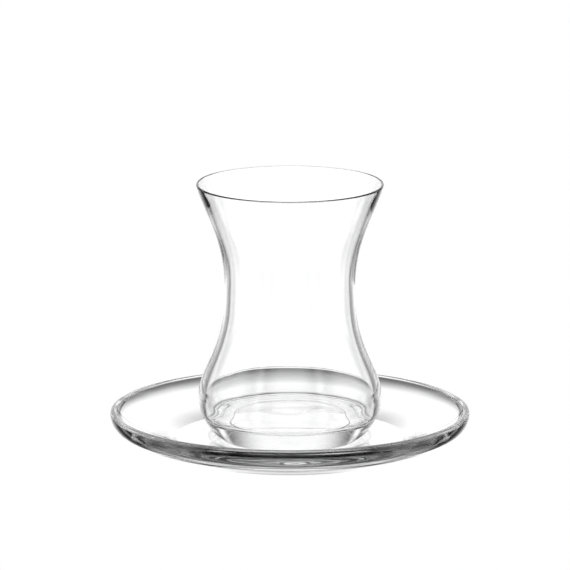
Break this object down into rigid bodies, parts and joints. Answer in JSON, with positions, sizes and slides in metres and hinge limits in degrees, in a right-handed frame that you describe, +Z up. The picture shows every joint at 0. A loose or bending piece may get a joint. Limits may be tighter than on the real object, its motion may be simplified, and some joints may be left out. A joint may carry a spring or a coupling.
{
  "type": "tulip-shaped tea glass with saucer",
  "caption": "Clear slim-waisted tea glass with a flared rim and rounded belly, standing in the well of a shallow round glass saucer.",
  "frame": {"origin": "centre of the saucer's foot, on the surface it stands on", "axes": "+Z up along the common axis of the glass and the saucer; X and Y level"},
  "size_m": [0.1156, 0.1156, 0.0869],
  "materials": {
    "tumbler_glass": "clear, fire-polished",
    "saucer_glass": "clear, pressed and polished"
  },
  "bodies": {
    "root": {"tea_glass": "tumbler_glass", "saucer": "saucer_glass"}
  },
  "joints": []
}
